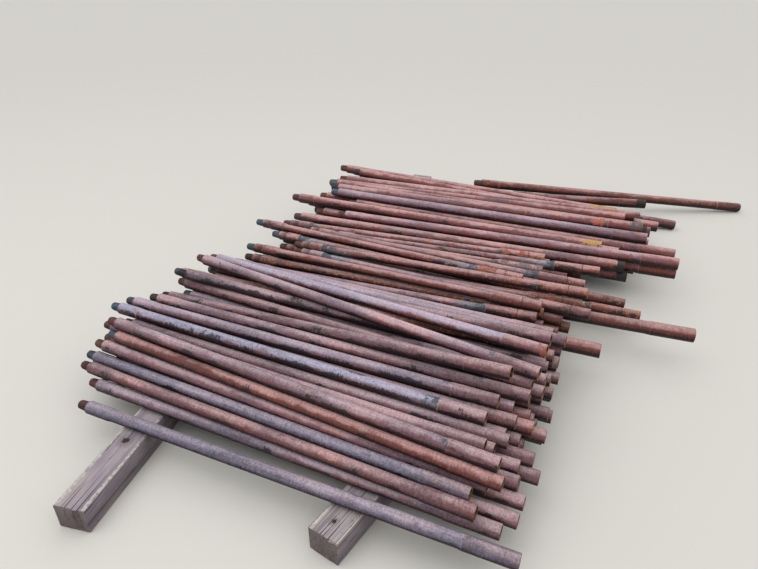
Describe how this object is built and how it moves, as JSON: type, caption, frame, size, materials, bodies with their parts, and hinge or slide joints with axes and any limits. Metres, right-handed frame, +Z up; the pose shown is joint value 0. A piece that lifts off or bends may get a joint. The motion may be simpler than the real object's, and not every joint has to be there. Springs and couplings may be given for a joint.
{
  "type": "stack of drill pipes",
  "caption": "Loose heap of threaded steel drill rods with pin and box ends, lying across sawn timbers.",
  "frame": {"origin": "middle of the heap's footprint, on the ground", "axes": "+X along the rods from pin ends to box ends, +Y across the heap from the front rods to the back ones, +Z up"},
  "size_m": [2.6332, 3.7354, 0.3737],
  "materials": {
    "timber": "weathered sawn softwood",
    "rod_steel": "rusted mill steel"
  },
  "bodies": {
    "root": {"timber_left": "timber", "timber_right": "timber", "timber_back_left": "timber", "timber_back_right": "timber", "front_rods_layer_1": "rod_steel", "middle_rods_layer_1": "rod_steel", "low_rods": "rod_steel", "back_rods_layer_1": "rod_steel", "front_rods_layer_2": "rod_steel", "middle_rods_layer_2": "rod_steel", "back_rods_layer_2": "rod_steel", "front_rods_layer_3": "rod_steel", "middle_rods_layer_3": "rod_steel", "back_rods_layer_3": "rod_steel", "front_rods_layer_4": "rod_steel", "middle_rods_layer_4": "rod_steel", "front_rods_layer_5": "rod_steel", "front_rods_layer_6": "rod_steel"}
  },
  "joints": []
}
